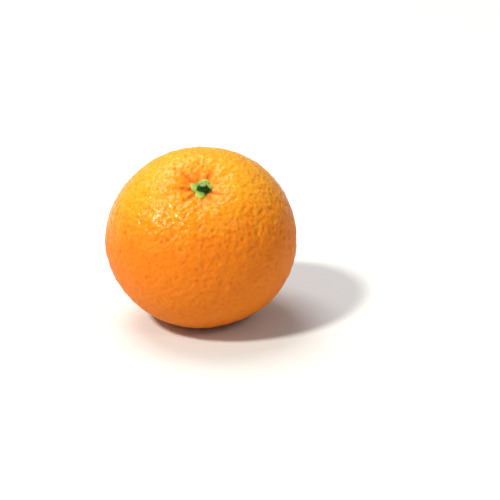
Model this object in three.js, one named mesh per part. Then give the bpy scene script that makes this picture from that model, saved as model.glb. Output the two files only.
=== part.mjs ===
// A whole sweet orange with its green button, lying on a small flat spot with the stem end leaning forward.
// Millimetres, +Z up. The origin is on the surface that the fruit lies on, below the middle of its outline,
// and -Y is the side that the stem end leans to.
import * as THREE from "three";

// The fruit.
const FRUIT_WIDTH = 80; // across the equator
const FRUIT_HEIGHT = 70.5; // from the stem end to the blossom end, before either is hollowed
const LEAN_DEG = 31; // of the stem axis, away from upright
const REST_DEPTH = 1.3; // how far the peel is pressed in where it rests

// The basin that the button sits in, and the pit that the style left at the blossom end.
const BASIN_DEPTH = 4.6;
const BASIN_REACH = 11;
const STYLE_PIT_DEPTH = 0.8;
const STYLE_PIT_REACH = 3.2;

// The furrows that run out of the basin: bearing round the stem in degrees, then depth and reach.
const FURROWS = [
  [-24, 0.9, 5],
  [63, 1.1, 6],
  [96, 0.3, 5],
  [132, 0.9, 7],
  [156, 0.3, 5],
  [181, 0.9, 6],
  [222, 0.7, 7],
  [268, 0.7, 3],
  [303, 0.4, 6],
];
const FURROW_WIDTH = 0.9;
const FURROW_CREST = 4.8; // how far out a furrow is deepest

// The fruit is a little uneven: lobes round it, swell as a share of its radius, and the bearing of the first.
const SWELLS = [
  [2, 0.006, 20],
  [3, 0.005, 75],
  [5, 0.004, 40],
];

// The button: five uneven sepals on a disc. Bearing in degrees, length from the axis, the degrees to its two
// sides, clockwise first, and bluntness: 1 runs straight to a point, 2 is round, and more is broad.
const SEPALS = [
  [24, 4.3, 40, 18, 1.1],
  [65, 5.3, 28, 56, 1.1],
  [150, 5.4, 18, 54, 1.0],
  [257, 5.0, 40, 44, 2.4],
  [318, 3.8, 30, 26, 2.0],
];
const CALYX_RADIUS = 3.7; // in the notches between the sepals
const CALYX_THICKNESS = 1.1; // at the middle
const SEPAL_THICKNESS = 0.6; // near the tips

// The stub of the fruit stalk, snapped off just above the button.
const STUB_HEIGHT = 2.3;
const STUB_FOOT_RADIUS = 2.6;
const STUB_NECK_RADIUS = 2.1;
const STUB_TOP_RADIUS = 1.3;
const STUB_OVAL = 1.08; // its width along X over its width along Y
const STUB_ASIDE = [0.15, -0.4]; // of its middle, along X and Y, from the middle of the button

const SEAT_GAP = 0.3; // between pieces that lie on each other

// How finely each piece is divided.
const FRUIT_RINGS = 56;
const FRUIT_SIDES = 78;
const CROWD_ENDS = 0.2; // radians that the rings are drawn towards both ends
const CROWD_STEM = 0.3; // radians that they are drawn towards the stem end alone
const CALYX_RINGS = 7;
const CALYX_SIDES = 80;
const STUB_SIDES = 28;

const EQUATOR = FRUIT_WIDTH / 2;
const POLE = FRUIT_HEIGHT / 2;
const lean = THREE.MathUtils.degToRad(LEAN_DEG);

// The angle from bearing b to bearing a, from -PI to PI.
function turn(a, b) {
  return Math.atan2(Math.sin(a - b), Math.cos(a - b));
}

// How far the basin sinks along the stem axis, at a distance from that axis.
function basin(distance) {
  return BASIN_DEPTH * Math.exp(-((distance / BASIN_REACH) ** 2));
}

// How far the furrows sink at a distance and a bearing. Each is a bell across, and fades out along its length.
function furrows(distance, bearing) {
  let sum = 0;
  const start = Math.min(distance / FURROW_CREST, 1) ** 2;
  for (const [degrees, depth, reach] of FURROWS) {
    const aside = turn(bearing, THREE.MathUtils.degToRad(degrees));
    if (Math.abs(aside) > Math.PI / 2) continue;
    const across = Math.exp(-(((distance * Math.sin(aside)) / FURROW_WIDTH) ** 2));
    const along = Math.exp(-((Math.max(distance - FURROW_CREST, 0) / reach) ** 2));
    sum += depth * start * across * along;
  }
  return sum;
}

// The height along the stem axis of the smooth peel round the button, without its furrows.
function basinHeight(distance) {
  return POLE * Math.sqrt(1 - (distance / EQUATOR) ** 2) - basin(distance);
}

// The peel at an angle from the stem and a bearing, with the stem along +Z and the origin in the middle:
// a flattened ball, swollen a little unevenly, that sinks along its axis at both ends.
function peelPoint(fromStem, bearing) {
  let swell = 1;
  for (const [lobes, share, first] of SWELLS) {
    const angle = lobes * (bearing - THREE.MathUtils.degToRad(first));
    swell += share * Math.cos(angle) * Math.sin(fromStem) ** 2;
  }
  const distance = EQUATOR * Math.sin(fromStem) * swell;
  const height = POLE * Math.cos(fromStem) * swell;
  const sunk =
    fromStem < Math.PI / 2
      ? basin(distance) + furrows(distance, bearing)
      : -STYLE_PIT_DEPTH * Math.exp(-((distance / STYLE_PIT_REACH) ** 2));
  return new THREE.Vector3(distance * Math.cos(bearing), distance * Math.sin(bearing), height - sunk);
}

// A profile turned round +Z. Each point of the profile is [distance, height], from the top of the axis down.
function turned(profile, sides) {
  const points = profile.map(([distance, height]) => new THREE.Vector2(distance, height)).reverse();
  return new THREE.LatheGeometry(points, sides).rotateX(Math.PI / 2);
}

// Moves every vertex of a geometry to where the function puts it, and measures its box anew.
function reshape(geometry, move) {
  const position = geometry.getAttribute("position");
  const point = new THREE.Vector3();
  for (let i = 0; i < position.count; i++) {
    point.fromBufferAttribute(position, i);
    const moved = move(point);
    position.setXYZ(i, moved.x, moved.y, moved.z);
  }
  geometry.computeBoundingBox();
  return geometry;
}

// The fruit: a turned ball, reshaped to the peel, leaned over, and pressed flat where it rests.
function fruitGeometry() {
  const ball = [];
  for (let ring = 0; ring <= FRUIT_RINGS; ring++) {
    const even = (Math.PI * ring) / FRUIT_RINGS;
    const fromStem = even - CROWD_ENDS * Math.sin(2 * even) - CROWD_STEM * Math.sin(even);
    const onAxis = ring === 0 || ring === FRUIT_RINGS;
    ball.push([onAxis ? 0 : Math.sin(fromStem), Math.cos(fromStem)]);
  }
  const geometry = reshape(turned(ball, FRUIT_SIDES), (point) => {
    const fromStem = Math.atan2(Math.hypot(point.x, point.y), point.z);
    return peelPoint(fromStem, Math.atan2(point.y, point.x));
  });
  geometry.rotateX(lean);
  const rest = geometry.boundingBox.min.z + REST_DEPTH;
  return reshape(geometry, (point) => point.setZ(Math.max(point.z, rest)));
}

// How far the button reaches from its axis at a bearing: a disc with five sepals.
function calyxReach(bearing) {
  let reach = CALYX_RADIUS;
  for (const [degrees, length, before, after, bluntness] of SEPALS) {
    const aside = turn(bearing, THREE.MathUtils.degToRad(degrees));
    const halfWidth = THREE.MathUtils.degToRad(aside < 0 ? before : after);
    const share = 1 - (Math.abs(aside) / halfWidth) ** bluntness;
    reach = Math.max(reach, CALYX_RADIUS + (length - CALYX_RADIUS) * share);
  }
  return reach;
}

// The button: a flat lens, drawn out to the sepals' outline and laid on the basin.
function calyxGeometry() {
  const top = [];
  const under = [];
  for (let ring = 0; ring <= CALYX_RINGS; ring++) {
    const share = ring / CALYX_RINGS;
    top.push([share, 1]);
    under.push([share, 0]);
  }
  const rim = [1.02, 0.5];
  const profile = [...top, rim, ...under.reverse()];
  return reshape(turned(profile, CALYX_SIDES), (point) => {
    const share = Math.hypot(point.x, point.y);
    const bearing = Math.atan2(point.y, point.x);
    const distance = share * calyxReach(bearing);
    const thickness = THREE.MathUtils.lerp(CALYX_THICKNESS, SEPAL_THICKNESS, share ** 2);
    const height = basinHeight(distance) + SEAT_GAP + point.z * thickness;
    return new THREE.Vector3(distance * Math.cos(bearing), distance * Math.sin(bearing), height);
  });
}

// The stub: a foot that flares onto the button, a neck, and a slightly domed broken end.
function stubGeometry() {
  const foot = basinHeight(0) + SEAT_GAP + CALYX_THICKNESS + SEAT_GAP;
  const profile = [
    [0, 1.0],
    [0.7, 0.98],
    [0.92, 0.92],
    [1.0, 0.84],
  ].map(([width, share]) => [width * STUB_TOP_RADIUS, foot + share * STUB_HEIGHT]);
  profile.push([STUB_NECK_RADIUS, foot + 0.45 * STUB_HEIGHT]);
  profile.push([STUB_FOOT_RADIUS * 0.88, foot + 0.18 * STUB_HEIGHT]);
  profile.push([STUB_FOOT_RADIUS, foot + 0.06 * STUB_HEIGHT]);
  profile.push([STUB_FOOT_RADIUS * 0.94, foot]);
  profile.push([0, foot]);
  return turned(profile, STUB_SIDES).scale(STUB_OVAL, 1 / STUB_OVAL, 1).translate(...STUB_ASIDE, 0);
}

function named(name, geometry, colour, roughness) {
  const material = new THREE.MeshStandardMaterial({ color: colour, roughness, metalness: 0 });
  const mesh = new THREE.Mesh(geometry, material);
  mesh.name = name;
  return mesh;
}

const fruit = named("fruit", fruitGeometry(), 0xf79a2a, 0.42);
const calyx = named("calyx", calyxGeometry(), 0xa9cf62, 0.6);
const stub = named("stem_stub", stubGeometry(), 0x2f5c22, 0.65);
calyx.rotation.x = lean;
stub.rotation.x = lean;

// The flat spot comes to z = 0, and the middle of the fruit's outline over the origin.
const outline = new THREE.Box3().setFromObject(fruit);
const middle = outline.getCenter(new THREE.Vector3());
const orange = new THREE.Group();
orange.add(fruit, calyx, stub);
orange.position.set(-middle.x, -middle.y, -outline.min.z);

export default orange;
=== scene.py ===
"""A ripe sweet orange with its green button and the stub of its stalk, in a plain pale studio.

Lengths are in metres and +Z is up. Shapes are worked out upright, with the stem along +Z and the
middle of the fruit at the origin. They are then leaned towards -Y and set down where the solid
fruit lies. A bearing is an angle round the stem, and is 0 towards +X.
"""

import logging
import math
from dataclasses import dataclass
from enum import Enum

import bpy
import numpy as np
from mathutils import Euler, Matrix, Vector

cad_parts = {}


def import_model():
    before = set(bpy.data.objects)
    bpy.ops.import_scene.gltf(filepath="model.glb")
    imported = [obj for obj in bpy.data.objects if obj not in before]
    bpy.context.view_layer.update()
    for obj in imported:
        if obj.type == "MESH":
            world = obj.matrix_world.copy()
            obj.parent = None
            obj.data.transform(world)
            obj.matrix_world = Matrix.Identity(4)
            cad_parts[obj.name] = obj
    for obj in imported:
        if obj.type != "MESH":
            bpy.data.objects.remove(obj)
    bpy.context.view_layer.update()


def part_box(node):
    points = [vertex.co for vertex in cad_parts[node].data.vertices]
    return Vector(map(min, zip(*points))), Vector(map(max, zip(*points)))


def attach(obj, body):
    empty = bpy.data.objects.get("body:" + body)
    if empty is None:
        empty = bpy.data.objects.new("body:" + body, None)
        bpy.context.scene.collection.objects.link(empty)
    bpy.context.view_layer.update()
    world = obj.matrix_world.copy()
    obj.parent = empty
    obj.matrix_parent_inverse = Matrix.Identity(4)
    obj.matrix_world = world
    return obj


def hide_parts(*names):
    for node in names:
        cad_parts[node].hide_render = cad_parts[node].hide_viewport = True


Array = np.ndarray
Colour = tuple[float, float, float]
Socket = bpy.types.NodeSocket
# The low and high end of a value, then what they are stretched to where that isn't 0 and 1.
Span = tuple[float, ...]

MM = 0.001
LOG = logging.getLogger("orange")

GOLDEN_ANGLE = math.pi * (3 - math.sqrt(5))
# How many decimals tell two points on a unit ball apart.
POINT_DECIMALS = 7
# How many points the fruit's form is sampled at, each way, to find its box.
BOX_POINTS = 361
# What lattice_values multiplies a cell's numbers and the seed by, and then its shifts and factors.
CELL_FACTORS = (73856093, 19349663, 83492791)
SEED_FACTOR = 40503
MIXING = ((15, 2246822519), (13, 3266489917), (16, 1))
# How the second lattice of a cloud is turned.
SECOND_LATTICE = Euler((0.7, 0.5, 0.9))
# The sockets of a colour Mix node, whose names repeat: the share and both colours, and the result.
MIX_INPUTS, MIX_RESULT = (0, 6, 7), 2


class Piece(Enum):
    """The pieces of the orange, by the names of the solids that they stand for."""

    FRUIT = "fruit"
    CALYX = "calyx"
    STUB = "stem_stub"


class Slot(Enum):
    """The record's material slots."""

    PEEL = "peel"
    SEPAL = "sepal"
    STALK = "stalk"


class Mark(Enum):
    """Values that a mesh carries at its points for its finish to read, each from 0 to 1."""

    PIT = "pit"
    FURROW = "furrow"
    # Deeper orange round the button: partly the peel's own tint, partly painted shade in the basin.
    FLUSH_AND_BASIN_SHADE = "flush_and_basin_shade"
    SCAR = "scar"
    # Golden towards the top: partly the peel's own ripening, partly painted light on the lit top.
    RIPENESS_AND_TOP_LIGHT = "ripeness_and_top_light"
    EDGE = "edge"
    # Painted shade on the button: in its notches, underneath, and the stalk stub's shadow on its
    # dried side.
    PAINTED_SHADE = "notch"
    CUT = "cut"
    RING = "ring"


# Shapes: small formulas that several pieces use.


def bell(distance: Array, reach: float) -> Array:
    """A bell: exp(-(distance / reach) squared)."""
    return np.exp(-((distance / reach) ** 2))


def rise(value: Array, start: float, end: float) -> Array:
    """A smooth step, 3tt - 2ttt, that is 0 up to start and 1 from end."""
    share = np.clip((value - start) / (end - start), 0, 1)
    return share * share * (3 - 2 * share)


def turn_between(bearing: Array, other_deg: float) -> Array:
    """The angle from the bearing other_deg to each bearing, from -pi to pi."""
    difference = bearing - math.radians(other_deg)
    return np.arctan2(np.sin(difference), np.cos(difference))


def lattice_values(cells: Array, seed: int) -> Array:
    """A fixed random number for each cell of a cubic lattice.

    Each cell's three whole numbers are multiplied by large odd numbers, summed with the seed, and
    mixed by shifts and products of 32 bits.

    Args:
        cells: Whole numbers, one row of three for each cell.
        seed: Another seed gives other numbers.

    Returns:
        One number from -1 to 1 for each row.
    """
    whole = cells.astype(np.int64).astype(np.uint32)
    mixed = whole @ np.array(CELL_FACTORS, dtype=np.uint32) + np.uint32(seed * SEED_FACTOR)
    for shift, factor in MIXING:
        mixed = (mixed ^ (mixed >> np.uint32(shift))) * np.uint32(factor)
    return mixed / float(2**31) - 1


def cloud(points: Array, grain: float, seed: int) -> Array:
    """Smooth random values that vary over a distance of about grain.

    Random numbers stand on a cubic lattice, grain apart, and each point blends the eight round it
    with weights that are smooth steps along each axis. A second, turned lattice is added, so that
    neither one's rows show.

    Args:
        points: One row of three for each point.
        grain: The lattices' spacing.
        seed: Another seed gives another cloud.

    Returns:
        One value for each point, mostly from -1 to 1.
    """
    total = np.zeros(len(points))
    for turn in (np.eye(3), np.array(SECOND_LATTICE.to_matrix())):
        scaled = points @ turn / grain
        low = np.floor(scaled)
        part = rise(scaled - low, 0, 1)
        for corner in np.ndindex(2, 2, 2):
            weight = np.prod(np.where(corner, part, 1 - part), axis=1)
            total += weight * lattice_values(low + corner, seed)
    return total / math.sqrt(2)


def polar(distance: Array, bearing: Array, height: Array) -> Array:
    """Points at a distance from the stem axis, a bearing round it and a height along it."""
    return np.stack([distance * np.cos(bearing), distance * np.sin(bearing), height], axis=-1)


def flat_cloud(distance: Array, bearing: Array, grain: float, seed: int) -> Array:
    """A cloud over the plane across the stem, at each distance and bearing."""
    flat = polar(distance, np.broadcast_to(bearing, distance.shape), np.zeros_like(distance))
    return cloud(flat.reshape(-1, 3), grain, seed).reshape(distance.shape)


@dataclass(frozen=True)
class Wave:
    """A wave round the stem: how many crests it has, its height, and its phase in radians."""

    crests: int
    height: float
    phase: float

    def __call__(self, bearing: Array) -> Array:
        """The height times the cosine of crests times the bearing, plus the phase."""
        return self.height * np.cos(self.crests * bearing + self.phase)


@dataclass
class Skin:
    """A closed surface: points, its faces as rows of point numbers, and the marks at its points."""

    points: Array
    faces: list[Array]
    marks: dict[Mark, Array]

    def normals(self) -> Array:
        """The outward direction at each point: its faces' area vectors, summed, at unit length."""
        total = np.zeros_like(self.points)
        for rows in self.faces:
            corners = self.points[rows]
            area = np.cross(corners[:, 2] - corners[:, 0], corners[:, -1] - corners[:, 1])
            for column in rows.T:
                for axis in range(3):
                    total[:, axis] += np.bincount(column, area[:, axis], len(self.points))
        return total / np.linalg.norm(total, axis=1, keepdims=True)

    def make(self, piece: Piece) -> bpy.types.Object:
        """Puts the surface into a smooth mesh and links its object to the scene.

        Args:
            piece: Which piece it is; the object takes its name from it.

        Returns:
            The object, which sits at the origin.
        """
        mesh = bpy.data.meshes.new(piece.value + "_skin")
        faces = [row for rows in self.faces for row in rows.tolist()]
        mesh.from_pydata(self.points.tolist(), [], faces)
        mesh.shade_smooth()
        for mark, values in self.marks.items():
            attribute = mesh.attributes.new(mark.value, "FLOAT", "POINT")
            attribute.data.foreach_set("value", values.astype(np.float32))
        thing = bpy.data.objects.new(piece.value + "_skin", mesh)
        bpy.context.scene.collection.objects.link(thing)
        return thing


def ball_grid(divisions: int) -> tuple[Array, Array]:
    """A ball of six square grids, one on each side of a cube.

    A square's point at angles a and b, each from -45 to 45 degrees, lies in the direction
    (1, tan a, tan b), so the squares stay nearly even. Points on the cube's edges are shared.

    Args:
        divisions: How many faces each square has along each side.

    Returns:
        The unit directions of the points, and the faces as rows of four point numbers.
    """
    tangent = np.tan(np.linspace(-math.pi / 4, math.pi / 4, divisions + 1))
    across, up = np.meshgrid(tangent, tangent, indexing="ij")
    number = np.arange((divisions + 1) ** 2).reshape(divisions + 1, divisions + 1)
    square = np.stack([number[:-1, :-1], number[1:, :-1], number[1:, 1:], number[:-1, 1:]], axis=-1)
    directions, faces = [], []
    for axis in range(3):
        for side in (1, -1):
            grid = np.empty((number.size, 3))
            grid[:, axis] = side
            grid[:, (axis + 1) % 3] = side * across.ravel()
            grid[:, (axis + 2) % 3] = up.ravel()
            faces.append(square.reshape(-1, 4) + len(directions) * number.size)
            directions.append(grid)
    loose = np.concatenate(directions)
    loose /= np.linalg.norm(loose, axis=1, keepdims=True)
    rounded = np.round(loose, POINT_DECIMALS)
    _, first, shared = np.unique(rounded, axis=0, return_index=True, return_inverse=True)
    return loose[first], shared.ravel()[np.concatenate(faces)]


def turned_faces(rings: int, sides: int) -> list[Array]:
    """The faces of a surface of rings that closes on a single point at both ends.

    The points are numbered ring by ring, then the point that closes the first ring, then the point
    that closes the last. The first ring is at the top, and each ring runs by rising bearing.

    Args:
        rings: How many rings there are.
        sides: How many points each ring has.

    Returns:
        Rows of four point numbers between the rings, and rows of three at the ends.
    """
    number = np.arange(rings * sides).reshape(rings, sides)
    after = np.roll(number, -1, axis=1)
    between = np.stack([number[:-1], number[1:], after[1:], after[:-1]], axis=-1).reshape(-1, 4)
    first, last = rings * sides, rings * sides + 1
    top = np.stack([number[0], after[0], np.full(sides, first)], axis=-1)
    bottom = np.stack([after[-1], number[-1], np.full(sides, last)], axis=-1)
    return [between, np.concatenate([top, bottom])]


def closed_rings(rings: Array) -> Array:
    """The points of a turned surface: its rings, then the middles of the first and last ring."""
    ends = np.stack([rings[0].mean(axis=0), rings[-1].mean(axis=0)])
    return np.concatenate([rings.reshape(-1, 3), ends])


# The fruit's form, which the solid shares, and how it lies.


@dataclass(frozen=True)
class Furrow:
    """A furrow that runs out of the basin: its bearing, its depth and how far it reaches."""

    bearing_deg: float
    depth: float
    reach: float


@dataclass(frozen=True)
class Swell:
    """A slow swell round the fruit: its lobes, their share of its radius, and a lobe's bearing."""

    lobes: int
    share: float
    first_deg: float


@dataclass(frozen=True)
class FruitForm:
    """The fruit's smooth form: a flattened ball, hollowed at both ends and furrowed at the stem."""

    equator: float = 40 * MM
    pole: float = 35.25 * MM
    basin_depth: float = 4.6 * MM
    basin_reach: float = 11 * MM
    style_depth: float = 0.8 * MM
    style_reach: float = 3.2 * MM
    furrow_width: float = 0.9 * MM
    furrow_crest: float = 4.8 * MM
    furrows: tuple[Furrow, ...] = (
        Furrow(-24, 0.75 * MM, 5 * MM),
        Furrow(63, 0.72 * MM, 6 * MM),
        Furrow(96, 0.3 * MM, 5 * MM),
        Furrow(132, 0.9 * MM, 7 * MM),
        Furrow(156, 0.3 * MM, 5 * MM),
        Furrow(181, 0.78 * MM, 6 * MM),
        Furrow(222, 0.7 * MM, 7 * MM),
        Furrow(268, 0.45 * MM, 4 * MM),
        Furrow(303, 0.4 * MM, 6 * MM),
    )
    swells: tuple[Swell, ...] = (Swell(2, 0.006, 20), Swell(3, 0.005, 75), Swell(5, 0.004, 40))

    def basin(self, distance: Array) -> Array:
        """How far the basin sinks along the axis: a bell of the distance from it."""
        return self.basin_depth * bell(distance, self.basin_reach)

    def furrowing(self, distance: Array, bearing: Array) -> Array:
        """How far the furrows sink along the axis.

        Each furrow is a bell across. Along its length it deepens as the square of the distance up
        to the crest, and fades from there as a bell.

        Args:
            distance: From the stem axis.
            bearing: Round the stem axis.

        Returns:
            The sum over the furrows at each point.
        """
        start = np.minimum(distance / self.furrow_crest, 1) ** 2
        beyond = np.maximum(distance - self.furrow_crest, 0)
        total = np.zeros_like(distance)
        for furrow in self.furrows:
            aside = turn_between(bearing, furrow.bearing_deg)
            ahead = np.abs(aside) < math.pi / 2
            across = bell(distance * np.sin(aside), self.furrow_width) * ahead
            total += furrow.depth * start * across * bell(beyond, furrow.reach)
        return total

    def seat(self, distance: Array) -> Array:
        """The height of the basin without its furrows: the ball's less the basin's depth."""
        return self.pole * np.sqrt(1 - (distance / self.equator) ** 2) - self.basin(distance)

    def points(self, from_stem: Array, bearing: Array) -> Array:
        """The smooth peel, upright.

        The ball's radius is swollen by cosines of the bearing, strongest at the equator. The stem
        half sinks by the basin and the furrows, and the blossom end is pushed in by a bell.

        Args:
            from_stem: The angle from the stem axis, from 0 to pi.
            bearing: The angle round it.

        Returns:
            One row of three for each point.
        """
        swell = np.ones_like(from_stem)
        for one in self.swells:
            lobes = np.cos(one.lobes * turn_between(bearing, one.first_deg))
            swell += one.share * lobes * np.sin(from_stem) ** 2
        distance = self.equator * np.sin(from_stem) * swell
        height = self.pole * np.cos(from_stem) * swell
        stem_side = self.basin(distance) + self.furrowing(distance, bearing)
        blossom_side = -self.style_depth * bell(distance, self.style_reach)
        sunk = np.where(from_stem < math.pi / 2, stem_side, blossom_side)
        return polar(distance, bearing, height - sunk)


@dataclass(frozen=True)
class Stance:
    """How the upright shapes are leaned over and where they are set down."""

    lean_deg: float
    shift: tuple[float, float, float]

    @classmethod
    def in_box(cls, form: FruitForm, box: tuple[Vector, Vector], lean_deg: float = 31) -> "Stance":
        """Finds the shift that sets the leaned form in the solid fruit's box.

        The box's sides and top are the form's own. Its bottom is where the fruit is pressed flat,
        so the height is matched at the top.

        Args:
            form: The fruit's smooth form.
            box: The lowest and highest corners of the solid fruit.
            lean_deg: How far the stem axis leans from upright.

        Returns:
            The stance.
        """
        half_turn = np.linspace(0, math.pi, BOX_POINTS)
        from_stem, bearing = np.meshgrid(half_turn, 2 * half_turn, indexing="ij")
        upright = form.points(from_stem.ravel(), bearing.ravel())
        leaned = cls(lean_deg, (0.0, 0.0, 0.0)).place(upright)
        low, high = leaned.min(axis=0), leaned.max(axis=0)
        middle = (np.array(box[0]) + np.array(box[1])) / 2 - (low + high) / 2
        return cls(lean_deg, (middle[0], middle[1], box[1].z - high[2]))

    def place(self, points: Array) -> Array:
        """Turns upright points about X by the lean, and shifts them."""
        lean = math.radians(self.lean_deg)
        sine, cosine = math.sin(lean), math.cos(lean)
        x, y, z = points.T
        turned = [x, y * cosine - z * sine, y * sine + z * cosine]
        return np.stack(turned, axis=-1) + np.array(self.shift)


# Finishes.


class Recipe:
    """A material, with short calls that add nodes to it and join them."""

    def __init__(self, name: str) -> None:
        """Starts a material of one principled shader."""
        self.material = bpy.data.materials.new(name)
        self.material.use_nodes = True
        self.tree = self.material.node_tree
        self.shader = self.tree.nodes["Principled BSDF"]
        self.object_place = self.tree.nodes.new("ShaderNodeTexCoord").outputs["Object"]

    def join(self, target: Socket, source: object) -> None:
        """Links a source socket to the target, or sets the target where the source is a value."""
        if isinstance(source, Socket):
            self.tree.links.new(source, target)
        else:
            target.default_value = (*source, 1.0) if target.type == "RGBA" else source

    def feed(self, node: bpy.types.Node, **sources: object) -> None:
        """Joins sources to a node's sockets, named with _ for each space."""
        for name, source in sources.items():
            self.join(node.inputs[name.replace("_", " ")], source)

    def shade(self, **sources: object) -> bpy.types.Material:
        """Feeds the shader, and gives the finished material."""
        self.feed(self.shader, **sources)
        return self.material

    def add(self, kind: str, output: str, **sources: object) -> Socket:
        """An output of a new node whose sockets are fed."""
        node = self.tree.nodes.new(kind)
        self.feed(node, **sources)
        return node.outputs[output]

    def mark(self, mark: Mark) -> Socket:
        """The mesh's own mark, from 0 to 1."""
        node = self.tree.nodes.new("ShaderNodeAttribute")
        node.attribute_name = mark.value
        return node.outputs["Fac"]

    def noise(self, grain: float, detail: float = 3, rough: float = 0.5) -> Socket:
        """Smooth noise from 0 to 1 that varies over about grain metres."""
        inputs = {"Vector": self.object_place, "Scale": 1 / grain, "Detail": detail}
        return self.add("ShaderNodeTexNoise", "Fac", Roughness=rough, **inputs)

    def cells(self, grain: float) -> Socket:
        """The distance from the nearest of random points about grain metres apart, as its share."""
        inputs = {"Vector": self.object_place, "Scale": 1 / grain}
        return self.add("ShaderNodeTexVoronoi", "Distance", **inputs)

    def spread(
        self, source: object, low: float, high: float, to_low: float = 0, to_high: float = 1
    ) -> Socket:
        """Stretches low..high of a source to to_low..to_high, and clamps it there."""
        ends = {"From_Min": low, "From_Max": high, "To_Min": to_low, "To_Max": to_high}
        return self.add("ShaderNodeMapRange", "Result", Value=source, **ends)

    def sum(self, total: object, *others: object) -> Socket:
        """The sum of two or more sources, added in their order."""
        for other in others:
            node = self.tree.nodes.new("ShaderNodeMath")
            self.join(node.inputs[0], total)
            self.join(node.inputs[1], other)
            total = node.outputs["Value"]
        return total

    def blend(self, share: object, first: object, second: object) -> Socket:
        """From the first colour at share 0 to the second at share 1."""
        node = self.tree.nodes.new("ShaderNodeMix")
        node.data_type = "RGBA"
        for socket, source in zip(MIX_INPUTS, (share, first, second)):
            self.join(node.inputs[socket], source)
        return node.outputs[MIX_RESULT]

    def bump(self, height: object, depth: float, **under: Socket) -> Socket:
        """A bump of that depth in metres for height 0 to 1, over the bump that Normal names."""
        inputs = {"Strength": 1.0, "Distance": depth, "Height": height, **under}
        return self.add("ShaderNodeBump", "Normal", **inputs)


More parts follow.
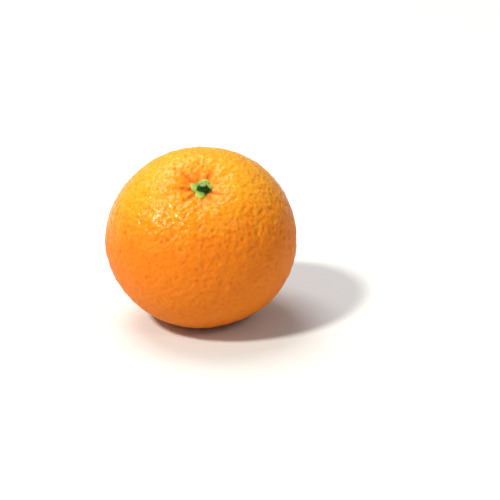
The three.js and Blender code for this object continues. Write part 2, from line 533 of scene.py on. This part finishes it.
@dataclass(frozen=True)
class PeelFinish:
    """Waxy citrus peel: golden to deep orange, mottled, with oil-gland pits and a soft gloss.

    Each span that starts with deep or dull, and furrow_shade and furrow_crease_shade, says how
    strongly a mark deepens the colour or dulls the gloss. The deepening is painted shade in the
    furrows, and in the pits and pores partly the oil glands' own colour and partly painted shade.
    """

    # The ends of the golden to orange blend; the golden end is partly painted light on the lit top.
    golden: Colour = (0.81, 0.415, 0.023)
    orange: Colour = (0.78, 0.203, 0.006)
    # A deeper orange: in the pits and pores partly the oil glands' own colour and partly painted
    # shade in the hollows, and in the furrows painted shade.
    deep: Colour = (0.70, 0.11, 0.002)
    # A darker red orange, painted as shade along the furrows.
    crease_shade: Colour = (0.68, 0.12, 0.002)
    scar_brown: Colour = (0.17, 0.075, 0.022)
    glow: Colour = (1.0, 0.32, 0.08)
    glow_depth: float = 2.2 * MM
    ripeness_and_top_light: Span = (0, 1, 0, 1.35)
    flush_and_basin_shade: Span = (0, 1, 0, 1.05)
    mottle_grain: float = 6.5 * MM
    mottle: Span = (0.3, 0.7, -0.15, 0.15)
    speck_grain: float = 1.6 * MM
    speck_rough: float = 0.65
    speckle: Span = (0.35, 0.65, -0.2, 0.2)
    golden_to_orange: Span = (-0.2, 1.1)
    deep_pit: Span = (0.1, 0.9, 0, 0.3)
    deep_pore: Span = (0.1, 0.4, 0.3, 0)
    furrow_shade: Span = (0.05, 0.6, 0, 0.55)
    furrow_crease_shade: Span = (0.4, 0.9, 0, 0.55)
    gloss_grain: float = 3 * MM
    roughness: Span = (0.3, 0.7, 0.13, 0.23)
    dull_scar: Span = (0, 1, 0, 0.4)
    dull_furrow: Span = (0.05, 0.5, 0, 0.3)
    dull_flush: Span = (0.1, 0.6, 0, 0.15)
    dull_ripe: Span = (0.5, 0.9, 0, 0.35)
    pore_grain: float = 1.1 * MM
    pore_relief: Span = (0, 0.5)
    pore_depth: float = 0.045 * MM
    ripple_grain: float = 1.2 * MM
    ripple_detail: float = 2
    ripple_depth: float = 0.07 * MM

    def material(self) -> bpy.types.Material:
        """Builds the material.

        The colour runs from golden to orange by the ripening mark, partly the peel's own ripening
        and partly painted light on the lit top, and by the deeper zone round the button, partly the
        peel's own tint and partly painted shade in the basin. A slow mottle and a speckle fade out
        where the peel is full orange. It is deeper in the pits and pores, partly the oil glands'
        own colour and partly painted shade in the hollows, deeper in the furrows as painted shade,
        and brown on the scar. The scar, the furrows, the zone round the button and the full-orange
        lower half are duller.

        Returns:
            The material.
        """
        recipe = Recipe("citrus_peel")
        ripeness_and_top_light, flush_and_basin_shade = recipe.mark(Mark.RIPENESS_AND_TOP_LIGHT), recipe.mark(Mark.FLUSH_AND_BASIN_SHADE)
        furrow, scar = recipe.mark(Mark.FURROW), recipe.mark(Mark.SCAR)
        pore = recipe.cells(self.pore_grain)
        specks = recipe.noise(self.speck_grain, rough=self.speck_rough)
        # The share of orange: ripening, partly painted light on the golden top; the zone round the
        # button, partly painted shade in the basin; a mottle and a speckle of the peel's own.
        orange_share = recipe.sum(
            recipe.spread(ripeness_and_top_light, *self.ripeness_and_top_light),
            recipe.spread(flush_and_basin_shade, *self.flush_and_basin_shade),
            recipe.spread(recipe.noise(self.mottle_grain), *self.mottle),
            recipe.spread(specks, *self.speckle),
        )
        colour = recipe.blend(recipe.spread(orange_share, *self.golden_to_orange), self.golden, self.orange)
        # Pits and pores: partly the glands' own colour, partly painted shade in the hollows.
        # Furrows: painted shade. Scar: its own brown.
        layers = (
            (recipe.spread(recipe.mark(Mark.PIT), *self.deep_pit), self.deep),
            (recipe.spread(pore, *self.deep_pore), self.deep),
            (recipe.spread(furrow, *self.furrow_shade), self.deep),
            (recipe.spread(furrow, *self.furrow_crease_shade), self.crease_shade),
            (scar, self.scar_brown),
        )
        for share, layer in layers:
            colour = recipe.blend(share, colour, layer)
        roughness = recipe.sum(
            recipe.spread(scar, *self.dull_scar),
            recipe.spread(furrow, *self.dull_furrow),
            recipe.spread(flush_and_basin_shade, *self.dull_flush),
            recipe.spread(ripeness_and_top_light, *self.dull_ripe),
            recipe.spread(recipe.noise(self.gloss_grain), *self.roughness),
        )
        ripple = recipe.noise(self.ripple_grain, self.ripple_detail)
        ripples = recipe.bump(ripple, self.ripple_depth)
        relief = recipe.spread(pore, *self.pore_relief)
        return recipe.shade(
            Base_Color=colour,
            Roughness=roughness,
            IOR=1.45,
            Specular_IOR_Level=0.18,
            Subsurface_Weight=0.12,
            Subsurface_Radius=self.glow,
            Subsurface_Scale=self.glow_depth,
            Normal=recipe.bump(relief, self.pore_depth, Normal=ripples),
        )


@dataclass(frozen=True)
class SepalFinish:
    """Fresh sepals: lime green in patches and yellower at the edges, with painted shade in the
    notches, underneath and in the stalk stub's shadow.
    """

    lime: Colour = (0.27, 0.42, 0.050)
    leaf: Colour = (0.10, 0.22, 0.020)
    edge: Colour = (0.50, 0.55, 0.10)
    # The colour of the painted shade in the notches, underneath and in the stalk stub's shadow.
    notch: Colour = (0.05, 0.09, 0.010)
    glow: Colour = (0.5, 1.0, 0.2)
    glow_depth: float = 0.8 * MM
    grain: float = 0.9 * MM
    patches: Span = (0.38, 0.68)
    pale_edge: Span = (0.55, 1, 0, 0.8)
    roughness: Span = (0, 1, 0.42, 0.6)
    fibre_grain: float = 0.25 * MM
    fibre_depth: float = 0.05 * MM

    def material(self) -> bpy.types.Material:
        """Builds the material: lime to leaf green by noise, then the pale edge, then painted shade
        in the notches, underneath and in the stalk stub's shadow.
        """
        recipe = Recipe("fresh_sepal")
        patch = recipe.spread(recipe.noise(self.grain), *self.patches)
        colour = recipe.blend(patch, self.lime, self.leaf)
        edge = recipe.spread(recipe.mark(Mark.EDGE), *self.pale_edge)
        colour = recipe.blend(edge, colour, self.edge)
        # Painted shade from the button's shade mark, over the sepals' own colour.
        return recipe.shade(
            Base_Color=recipe.blend(recipe.mark(Mark.PAINTED_SHADE), colour, self.notch),
            Roughness=recipe.spread(patch, *self.roughness),
            IOR=1.42,
            Specular_IOR_Level=0.25,
            Subsurface_Weight=0.12,
            Subsurface_Radius=self.glow,
            Subsurface_Scale=self.glow_depth,
            Normal=recipe.bump(recipe.noise(self.fibre_grain), self.fibre_depth),
        )


@dataclass(frozen=True)
class StalkFinish:
    """A snapped green stalk: dark ribbed bark, and a pale end with a ring of vessels."""

    bark: Colour = (0.002, 0.030, 0.004)
    bark_light: Colour = (0.025, 0.140, 0.014)
    pith: Colour = (0.42, 0.48, 0.26)
    vessels: Colour = (0.08, 0.16, 0.03)
    grain: float = 0.5 * MM
    bark_patches: Span = (0.4, 0.7)
    pith_rough: float = 0.6
    pith_patches: Span = (0.38, 0.58)
    vessel_ring: Span = (0, 1, 0, 0.4)
    pith_to_vessels: Span = (0.1, 1.0)
    roughness: Span = (0, 1, 0.45, 0.75)
    end_grain: float = 0.22 * MM
    end_depth: float = 0.06 * MM

    def material(self) -> bpy.types.Material:
        """Builds the material: bark, then pith where the stalk is cut, then the ring of vessels."""
        recipe = Recipe("green_stalk")
        cut = recipe.mark(Mark.CUT)
        patch = recipe.spread(recipe.noise(self.grain), *self.bark_patches)
        bark = recipe.blend(patch, self.bark, self.bark_light)
        pith = recipe.noise(2 * self.grain, rough=self.pith_rough)
        ring = recipe.spread(recipe.mark(Mark.RING), *self.vessel_ring)
        ring = recipe.sum(ring, recipe.spread(pith, *self.pith_patches))
        end = recipe.blend(recipe.spread(ring, *self.pith_to_vessels), self.pith, self.vessels)
        return recipe.shade(
            Base_Color=recipe.blend(cut, bark, end),
            Roughness=recipe.spread(cut, *self.roughness),
            IOR=1.42,
            Specular_IOR_Level=0.2,
            Normal=recipe.bump(recipe.noise(self.end_grain), self.end_depth),
        )


@dataclass(frozen=True)
class FloorFinish:
    """Matt white paper with the faintest tooth."""

    white: Colour = (0.72, 0.72, 0.72)
    shade: Colour = (0.69, 0.69, 0.69)
    grain: float = 2 * MM
    depth: float = 0.02 * MM

    def material(self) -> bpy.types.Material:
        """Builds the material: white with a faint fine noise in its colour and its height."""
        recipe = Recipe("white_paper")
        tooth = recipe.noise(self.grain)
        return recipe.shade(
            Base_Color=recipe.blend(tooth, self.white, self.shade),
            Roughness=0.9,
            Specular_IOR_Level=0.1,
            Normal=recipe.bump(tooth, self.depth),
        )


# The pieces.


def dress(thing: bpy.types.Object, piece: Piece, material: bpy.types.Material) -> None:
    """Gives a piece its finish, lets it ride, hides the solid it stands for, reports it.

    Args:
        thing: The piece's object.
        piece: Which piece it is.
        material: Its finish.
    """
    thing.data.materials.append(material)
    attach(thing, "root")
    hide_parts(piece.value)
    corners = np.array(thing.bound_box) / MM
    low, high = corners.min(axis=0).round(2), corners.max(axis=0).round(2)
    LOG.info("%s: %d faces, %s to %s mm", thing.name, len(thing.data.polygons), low, high)


@dataclass
class Peel:
    """The outside of the fruit: its form, lumps, pleats round the button, pits and flat spot.

    The sizes of the pits are drawn from a beta distribution of pit_sizes. Beside the stem the pits
    are shallower by pit_shallower and their colour is paler by pit_paler. Away from the stem the
    relief fades to the share fine. The second set of pleats is fine_pleats times as close.
    """

    form: FruitForm
    stance: Stance
    floor: float
    divisions: int = 128
    crowding: float = 0.2
    pits: int = 6400
    pit_jitter: float = 0.42 * MM
    pit_sizes: tuple[float, float] = (1.4, 2.2)
    pit_depth: tuple[float, float] = (0.15 * MM, 0.52 * MM)
    pit_reach: tuple[float, float] = (0.55 * MM, 0.85 * MM)
    pit_shallower: float = 0.5
    pit_paler: float = 0.4
    pit_blocks: int = 96
    coarse_reach: float = 30 * MM
    fine: float = 0.7
    stem_end: float = 11.5 * MM
    # Golden towards this side, which faces up: partly the peel's own ripening, partly painted light
    # on the lit top.
    golden_lit_side: tuple[float, float, float] = (-0.07, 0.08, 0.90)
    golden_edge: Span = (-0.2, 0.95)
    # The deeper orange round the button, partly painted shade in the basin, is strongest at this
    # bearing.
    flush_deg: float = 125
    flush_spread: float = 1.2
    flush_least: float = 0.35
    lump_grain: float = 9 * MM
    lump_height: float = 0.16 * MM
    pebble_grain: float = 2.1 * MM
    pebble_height: float = 0.26 * MM
    pleats: float = 5.2
    pleat_length: float = 4.5 * MM
    pleat_height: float = 0.24 * MM
    pleat_start: Span = (2 * MM, 6 * MM)
    pleat_fade: float = 9 * MM
    fine_pleats: float = 2.1
    fine_pleat_length: float = 2.2 * MM
    fine_pleat_share: float = 0.6
    scar_reach: float = 1.5 * MM
    scar_height: float = 0.35 * MM
    scar_edge: Span = (0.75, 1.15)
    scar_waves: tuple[Wave, ...] = (Wave(3, 0.15, 0), Wave(7, 0.1, 1))
    press_softness: float = 0.5 * MM
    seed: int = 11

    def build(self) -> Skin:
        """Works out the surface and its marks.

        The ball's directions are drawn towards the stem by t - crowding sin t, and give the smooth
        form. Each point then moves along the form's outward direction by the relief.

        Returns:
            The finished surface, in place.
        """
        directions, squares = ball_grid(self.divisions)
        from_stem = np.arccos(np.clip(directions[:, 2], -1, 1))
        from_stem = from_stem - self.crowding * np.sin(from_stem)
        bearing = np.arctan2(directions[:, 1], directions[:, 0])
        skin = Skin(self.form.points(from_stem, bearing), [squares], {})
        outward = skin.normals()
        distance = np.hypot(skin.points[:, 0], skin.points[:, 1])
        upper = from_stem < math.pi / 2
        near = np.where(upper, bell(distance, self.stem_end), 0)
        # Deeper orange round the button: partly the peel's own tint, partly painted shade in the
        # basin.
        flush_and_basin_shade = bell(turn_between(bearing, self.flush_deg), self.flush_spread)
        flush_and_basin_shade = near * (self.flush_least + (1 - self.flush_least) * flush_and_basin_shade)
        pitting, depth = self.pitting(skin.points, near)
        scar = np.where(upper, 0, self.scar(distance, bearing))
        coarse = self.fine + (1 - self.fine) * np.where(upper, bell(distance, self.coarse_reach), 0)
        relief = coarse * self.lumps(skin.points) + self.pleating(distance, bearing, upper)
        relief += scar * self.scar_height - coarse * depth * (1 - scar)
        skin.points = self.press(self.stance.place(skin.points + outward * relief[:, None]))
        deepest = max(furrow.depth for furrow in self.form.furrows)
        furrow = self.form.furrowing(distance, bearing) / deepest
        skin.marks = {
            Mark.PIT: pitting,
            Mark.FURROW: np.where(upper, np.clip(furrow, 0, 1), 0),
            Mark.FLUSH_AND_BASIN_SHADE: flush_and_basin_shade,
            Mark.SCAR: scar,
            Mark.RIPENESS_AND_TOP_LIGHT: self.ripeness_and_top_light(skin.points),
        }
        return skin

    def lumps(self, points: Array) -> Array:
        """Slow lumps and finer pebbling: two clouds of different grain and height, summed."""
        slow = self.lump_height * cloud(points, self.lump_grain, self.seed)
        return slow + self.pebble_height * cloud(points, self.pebble_grain, self.seed + 1)

    def pleating(self, distance: Array, bearing: Array, upper: Array) -> Array:
        """Fine pleats that run out from the button.

        They are a cloud over a cone: the bearing is wrapped round a wide circle, and the distance
        counts little, so the cloud is drawn out along the radius. They fade in past the button and
        out over the shoulder.

        Args:
            distance: From the stem axis.
            bearing: Round the stem axis.
            upper: True on the stem's half.

        Returns:
            The height of the pleats.
        """
        circle = np.full_like(bearing, self.pleats)
        cone = polar(circle, bearing, distance / self.pleat_length)
        fine = polar(self.fine_pleats * circle, bearing, distance / self.fine_pleat_length)
        height = cloud(cone, 1.0, self.seed + 2)
        height += self.fine_pleat_share * cloud(fine, 1.0, self.seed + 3)
        start, end = self.pleat_start
        fade = rise(distance, start, end) * bell(np.maximum(distance - end, 0), self.pleat_fade)
        return self.pleat_height * height * fade * upper

    def pit_places(self) -> tuple[Array, Array, Array]:
        """Where the pits are, and how big.

        They start on a spiral, equal steps apart in height and the golden angle apart in bearing,
        which spreads them evenly, and are jittered at random.

        Returns:
            Their points on the smooth form, their depths and their reaches.
        """
        random = np.random.default_rng(self.seed)
        number = np.arange(self.pits)
        height = 1 - (2 * number + 1) / self.pits
        bearing = number * GOLDEN_ANGLE
        ball = polar(np.sqrt(1 - height**2), bearing, height)
        ball += random.normal(0, self.pit_jitter / self.form.equator, ball.shape)
        ball /= np.linalg.norm(ball, axis=1, keepdims=True)
        places = self.form.points(np.arccos(ball[:, 2]), np.arctan2(ball[:, 1], ball[:, 0]))
        size = random.beta(*self.pit_sizes, self.pits)
        depth = self.pit_depth[0] + size * (self.pit_depth[1] - self.pit_depth[0])
        reach = self.pit_reach[0] + size * (self.pit_reach[1] - self.pit_reach[0])
        return places, depth, reach

    def pitting(self, points: Array, near: Array) -> tuple[Array, Array]:
        """The pits' share and depth at each point.

        Every pit is a bell of the distance from its middle, and the bells are summed. Near the
        stem the pits are shallower. The points are taken in blocks, to save memory.

        Args:
            points: On the smooth form.
            near: How near the stem end each point is, from 0 to 1.

        Returns:
            The depth as a share of the deepest pit's, and the depth.
        """
        places, depth, reach = (values.astype(np.float32) for values in self.pit_places())
        square_places = (places**2).sum(axis=1)
        blocks = []
        for block in np.array_split(points.astype(np.float32), self.pit_blocks):
            square = (block**2).sum(axis=1, keepdims=True) + square_places - 2 * block @ places.T
            blocks.append(np.exp(-square / reach**2) @ depth)
        sunk = np.concatenate(blocks) * (1 - self.pit_shallower * near)
        return np.clip(sunk * (1 - self.pit_paler * near) / self.pit_depth[1], 0, 1), sunk

    def scar(self, distance: Array, bearing: Array) -> Array:
        """The mark of the style: a small disc with an uneven edge, from 0 to 1."""
        edge = self.scar_reach * (1 + sum(wave(bearing) for wave in self.scar_waves))
        return 1 - rise(distance / edge, *self.scar_edge)

    def press(self, points: Array) -> Array:
        """Flattens the underside softly on the floor.

        With h the height over the floor, the new height is half of h plus the root of h squared and
        the softness squared, which is h well above the floor and nearly 0 below it.

        Args:
            points: In place.

        Returns:
            The pressed points, the lowest of them on the floor.
        """
        height = points[:, 2] - self.floor
        pressed = (height + np.sqrt(height**2 + self.press_softness**2)) / 2
        moved = points.copy()
        moved[:, 2] = pressed - pressed.min() + self.floor
        return moved

    def ripeness_and_top_light(self, points: Array) -> Array:
        """From golden, 0, high on one side to full orange, 1, from just below the middle down:
        partly ripening and partly painted light on the lit top.
        """
        middle = (points.max(axis=0) + points.min(axis=0)) / 2
        golden_lit_side = np.array(self.golden_lit_side) / np.linalg.norm(self.golden_lit_side)
        return 1 - rise((points - middle) @ golden_lit_side / self.form.equator, *self.golden_edge)


@dataclass(frozen=True)
class Sepal:
    """A sepal: its bearing, how far it reaches, its width to either side, and its bluntness."""

    bearing_deg: float
    reach: float
    before_deg: float
    after_deg: float
    bluntness: float


@dataclass
class Button:
    """The calyx: five fleshy sepals grown together, lying in the basin.

    The spans are shares of the way out from the stem. notch_shade, stub_shadow and under_shade say
    how strongly painted shade darkens the notches, the underside, and the dried side, where it
    stands for the stalk stub's shadow.
    """

    form: FruitForm
    stance: Stance
    sides: int = 360
    rings: int = 44
    ring_crowding: float = 0.8
    radius: float = 3.7 * MM
    sepals: tuple[Sepal, ...] = (
        Sepal(24, 4.3 * MM, 40, 18, 1.1),
        Sepal(65, 5.3 * MM, 28, 56, 1.1),
        Sepal(150, 5.4 * MM, 18, 54, 1.0),
        Sepal(257, 5.1 * MM, 40, 35, 2.2),
        Sepal(318, 3.3 * MM, 30, 26, 2.0),
    )
    lift: float = -0.08 * MM
    middle_thickness: float = 1.2 * MM
    tip_thickness: float = 0.55 * MM
    uneven: float = 0.02
    uneven_circle: float = 6.0
    collar_radius: float = 2.5 * MM
    collar_reach: float = 0.5 * MM
    collar_height: float = 0.15 * MM
    crown_height: float = 0.14 * MM
    droop: float = 0.12 * MM
    notch_depth: float = 0.12 * MM
    notch_span: Span = (0.45, 1)
    # Where the button has dried and shrunk back; the same bell carries the stalk stub's painted
    # shadow.
    dried_deg: float = 316
    dried_spread: float = 0.5
    dried_span: Span = (0.3, 0.8)
    dried_back: float = 0.6 * MM
    dried_thinner: float = 0.55
    wrinkle_grain: float = 0.55 * MM
    wrinkle_height: float = 0.05 * MM
    ribs: int = 28
    rib_wander: float = 3
    rib_span: Span = (0.5, 0.8)
    rib_height: float = 0.025 * MM
    # How strongly painted shade darkens the notches, the stalk stub's shadow on the dried side, and
    # the underside.
    notch_shade: float = 0.7
    stub_shadow: float = 0.85
    under_shade: float = 0.35
    seed: int = 31

    def drying(self, bearing: Array) -> Array:
        """How much the button has shrunk: a bell of the angle from where it is most dried."""
        return bell(turn_between(bearing, self.dried_deg), self.dried_spread)

    def outline(self, bearing: Array) -> tuple[Array, Array]:
        """How far the button reaches at a bearing, and the sepal's share there.

        The disc is shrunk back by a bell where it has dried. From its edge, a sepal reaches out by
        1 less the angle from its middle, as a share of its width to that side, raised to its
        bluntness.

        Args:
            bearing: Round the stem axis.

        Returns:
            The reach, and the share, which is 1 along a sepal's middle and 0 in a notch.
        """
        disc = self.radius - self.dried_back * self.drying(bearing)
        reach = disc
        blade = np.zeros_like(bearing)
        for sepal in self.sepals:
            aside = np.degrees(turn_between(bearing, sepal.bearing_deg))
            aside = np.abs(aside) / np.where(aside < 0, sepal.before_deg, sepal.after_deg)
            share = np.clip(1 - aside**sepal.bluntness, 0, 1)
            reach = np.maximum(reach, disc + (sepal.reach - disc) * share)
            blade = np.maximum(blade, share)
        return reach, blade

    def build(self) -> Skin:
        """Works out the surface and its marks.

        A section is a flat lens: at the share q of the reach, its half thickness is the root of
        1 - q to the 6th. It thins towards the tips by q squared, and where it has dried. The top is
        raised by a crown along each sepal and a collar round the stalk, and lowered in the notches.
        The tips droop onto the peel by q to the 4th. Wrinkles are a cloud, and ribs are cosines of
        the bearing that wander with them.

        Returns:
            The finished surface, in place.
        """
        share = np.sin(np.linspace(0, math.pi, 2 * self.rings + 1)[1:-1])[:, None]
        share = share**self.ring_crowding
        top_side = (np.arange(len(share)) <= len(share) // 2)[:, None]
        bearing = np.linspace(0, 2 * math.pi, self.sides, endpoint=False)[None, :]
        reach, blade = self.outline(bearing)
        circle = np.full_like(bearing, self.uneven_circle)
        uneven = self.uneven * flat_cloud(circle, bearing, 1.0, self.seed)
        distance = share * reach * (1 + uneven)
        rounding = np.sqrt(np.clip(1 - share**6, 0, 1))
        dried = self.drying(bearing) * rise(share, *self.dried_span)
        thickness = self.middle_thickness + (self.tip_thickness - self.middle_thickness) * share**2
        thickness = thickness * (1 - self.dried_thinner * dried)
        middle = self.form.seat(distance) + self.lift + thickness / 2
        middle = middle - self.droop * blade * share**4
        notch = (1 - blade) ** 2 * rise(share, *self.notch_span)
        relief = self.crown_height * blade * share * rounding - self.notch_depth * notch
        collar = bell(distance - self.collar_radius, self.collar_reach)
        relief = relief + self.collar_height * collar
        wrinkle = flat_cloud(distance, bearing, self.wrinkle_grain, self.seed + 1)
        ribs = np.cos(self.ribs * bearing + self.rib_wander * wrinkle) * rise(share, *self.rib_span)
        relief = relief + self.wrinkle_height * wrinkle + self.rib_height * ribs * rounding
        side = np.where(top_side, 1, -1)
        height = middle + side * rounding * thickness / 2 + np.where(top_side, relief, 0)
        rings = polar(distance, np.broadcast_to(bearing, distance.shape), height)
        skin = Skin(self.stance.place(closed_rings(rings)), turned_faces(*distance.shape), {})
        edge = np.broadcast_to(share, distance.shape)
        # Painted shade: in the notches, on the dried side as the stalk stub's shadow, and
        # underneath.
        deep = self.notch_shade * notch + self.stub_shadow * dried
        deep = deep + self.under_shade * (1 - top_side) * share
        skin.marks = {
            Mark.EDGE: np.append(edge.ravel(), [0, 0]),
            Mark.PAINTED_SHADE: np.append(np.clip(deep, 0, 1).ravel(), [0, 0]),
        }
        return skin

    def top(self) -> float:
        """The height of the top beside the axis, upright."""
        return float(self.form.seat(np.zeros(1))[0]) + self.lift + self.middle_thickness


@dataclass
class StalkStub:
    """The stub of the fruit stalk: a foot that flares onto the button, ribs and a snapped end."""

    stance: Stance
    foot_height: float
    sides: int = 144
    side_rings: int = 40
    end_rings: int = 22
    height: float = 2.85 * MM
    sunk: float = 0.3 * MM
    foot_radius: float = 2.7 * MM
    neck_radius: float = 2.15 * MM
    top_radius: float = 1.3 * MM
    edge: float = 0.2 * MM
    oval: float = 1.08
    aside: tuple[float, float] = (0.15 * MM, -0.4 * MM)
    flare: float = 0.16
    ribs: tuple[Wave, ...] = (Wave(11, 1, 0), Wave(17, 0.5, 1.3))
    rib_height: float = 0.07 * MM
    tilt: tuple[float, float] = (0.04, -0.10)
    torn_grain: float = 0.5 * MM
    torn_height: float = 0.09 * MM
    vessel_ring: float = 0.62
    vessel_spread: float = 0.14
    groove_spread: float = 0.12
    groove_depth: float = 0.12 * MM
    seed: int = 53

    def side_radius(self, share: Array) -> Array:
        """The radius at a share of the height: the neck's, narrowing upwards, plus the flare."""
        flare = (self.foot_radius - self.neck_radius) * np.exp(-share / self.flare)
        return self.neck_radius + (self.top_radius - self.neck_radius) * share + flare

    def build(self) -> Skin:
        """Works out the surface and its marks.

        The end comes first, from its middle out, and then the side, from a slope over the edge of
        the end down. Ribs are cosines of the bearing that fade out at both ends of the side. The
        end is torn by a cloud and sinks in a bell along the ring of vessels.

        Returns:
            The finished surface, in place.
        """
        bearing = np.linspace(0, 2 * math.pi, self.sides, endpoint=False)[None, :]
        out = np.linspace(0, 1, self.end_rings + 1)[1:, None]
        down = np.linspace(1, 0, self.side_rings)[:, None]
        round_once = np.ones_like(bearing)
        end_distance = out * (self.top_radius - self.edge) * round_once
        torn = flat_cloud(end_distance, bearing, self.torn_grain, self.seed)
        groove = self.groove_depth * bell(out - self.vessel_ring, self.groove_spread)
        end_height = self.height + self.torn_height * torn - groove
        side_height = down * (self.height - self.edge) * round_once
        ribs = self.rib_height * sum(wave(bearing) for wave in self.ribs)
        side_distance = self.side_radius(down) + ribs * np.sin(math.pi * down) ** 0.5
        distance = np.concatenate([end_distance, side_distance])
        height = np.concatenate([end_height, side_height])
        rings = polar(distance, np.broadcast_to(bearing, distance.shape), height)
        slope = rings[..., 0] * self.tilt[0] + rings[..., 1] * self.tilt[1]
        rings[..., 2] += slope * height / self.height
        rings *= np.array([self.oval, 1 / self.oval, 1])
        rings += np.array([*self.aside, self.foot_height - self.sunk])
        skin = Skin(self.stance.place(closed_rings(rings)), turned_faces(*distance.shape), {})
        ring, cut = np.zeros_like(distance), np.zeros_like(distance)
        ring[: self.end_rings] = bell(out - self.vessel_ring, self.vessel_spread)
        cut[: self.end_rings] = 1
        skin.marks = {
            Mark.CUT: np.append(cut.ravel(), [1, 0]),
            Mark.RING: np.append(ring.ravel(), [0, 0]),
        }
        return skin


# The studio.


@dataclass(frozen=True)
class Lamp:
    """A square soft lamp: its direction and distance from the orange, its side, and its light."""

    name: str
    direction: tuple[float, float, float]
    distance: float
    size: float
    watts: float
    colour: Colour

    def place(self, target: Vector) -> None:
        """Stands the lamp and turns it to the target."""
        light = bpy.data.lights.new(self.name, "AREA")
        light.size = self.size
        light.energy = self.watts
        light.color = self.colour
        thing = bpy.data.objects.new(self.name, light)
        towards = Vector(self.direction).normalized()
        thing.location = target + towards * self.distance
        thing.rotation_euler = towards.to_track_quat("Z", "Y").to_euler()
        bpy.context.scene.collection.objects.link(thing)


@dataclass
class Studio:
    """A white floor, three soft lamps, a pale surround and the camera."""

    middle: Vector
    floor_reach: float = 6.0
    surround: float = 0.29
    lamps: tuple[Lamp, ...] = (
        Lamp("key", (-0.57, -0.29, 0.77), 4.0, 0.48, 152.0, (1.0, 0.97, 0.86)),
        Lamp("side", (0.48, -0.55, 0.69), 4.0, 0.65, 17.0, (1.0, 0.98, 0.92)),
        Lamp("overhead", (-0.25, 0.40, 1.0), 4.0, 2.3, 112.0, (1.0, 1.0, 1.0)),
    )
    lens: float = 85.0
    sensor: float = 36.0
    azimuth_deg: float = -1.6
    elevation_deg: float = 21.0
    picture_side: float = 500.0
    fruit_pixel: tuple[float, float] = (197.7, 234.9)
    fruit_pixels_across: float = 191.3

    def lay_floor(self, finish: FloorFinish) -> None:
        """Lays the floor: one large square at height 0."""
        reach = self.floor_reach
        mesh = bpy.data.meshes.new("floor")
        corners = [(-reach, -reach, 0), (reach, -reach, 0), (reach, reach, 0), (-reach, reach, 0)]
        mesh.from_pydata(corners, [], [(0, 1, 2, 3)])
        floor = bpy.data.objects.new("floor", mesh)
        mesh.materials.append(finish.material())
        bpy.context.scene.collection.objects.link(floor)

    def light(self) -> None:
        """Stands the lamps, sets the pale surround, and shows colours as they are."""
        for lamp in self.lamps:
            lamp.place(self.middle)
        world = bpy.data.worlds.new("surround")
        world.use_nodes = True
        background = world.node_tree.nodes["Background"]
        background.inputs["Color"].default_value = (1.0, 1.0, 1.0, 1.0)
        background.inputs["Strength"].default_value = self.surround
        bpy.context.scene.world = world
        bpy.context.scene.view_settings.view_transform = "Standard"

    def stand_camera(self, fruit_width: float) -> None:
        """Stands the camera before the fruit and turns it until the fruit falls where it should.

        The distance is the fruit's half width over the sine of the angle that it fills. The camera
        stands at its azimuth, up by its elevation. It looks past the fruit, turned and tilted by
        the angles from the picture's middle to the fruit's.

        Args:
            fruit_width: Across the fruit.
        """
        half_picture = self.sensor / 2 / self.lens
        across = half_picture * self.fruit_pixels_across / self.picture_side
        away = fruit_width / 2 / math.sin(math.atan(across))
        azimuth, elevation = math.radians(self.azimuth_deg), math.radians(self.elevation_deg)
        level = Vector((math.sin(azimuth), -math.cos(azimuth), 0))
        back = level * math.cos(elevation) + Vector((0, 0, math.sin(elevation)))
        half_side = self.picture_side / 2
        aside = math.atan((self.fruit_pixel[0] - half_side) / half_side * half_picture)
        above = math.atan((half_side - self.fruit_pixel[1]) / half_side * half_picture)
        lens = bpy.data.cameras.new("camera")
        lens.lens = self.lens
        lens.sensor_width = self.sensor
        camera = bpy.data.objects.new("camera", lens)
        camera.location = self.middle + back * away
        camera.rotation_euler = (math.pi / 2 - elevation - above, 0, azimuth + aside)
        bpy.context.scene.collection.objects.link(camera)
        bpy.context.scene.camera = camera


def main() -> None:
    """Builds the orange round the frame, then the studio."""
    logging.basicConfig(level=logging.INFO, format="%(name)s: %(message)s")
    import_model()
    fruit_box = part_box(Piece.FRUIT.value)
    form = FruitForm()
    stance = Stance.in_box(form, fruit_box)

    peel = Peel(form, stance, floor=fruit_box[0].z)
    dress(peel.build().make(Piece.FRUIT), Piece.FRUIT, PeelFinish().material())
    button = Button(form, stance)
    dress(button.build().make(Piece.CALYX), Piece.CALYX, SepalFinish().material())
    stub = StalkStub(stance, foot_height=button.top())
    dress(stub.build().make(Piece.STUB), Piece.STUB, StalkFinish().material())

    studio = Studio(middle=(fruit_box[0] + fruit_box[1]) / 2)
    studio.lay_floor(FloorFinish())
    studio.light()
    studio.stand_camera(fruit_width=fruit_box[1].x - fruit_box[0].x)


if __name__ == "__main__":
    main()
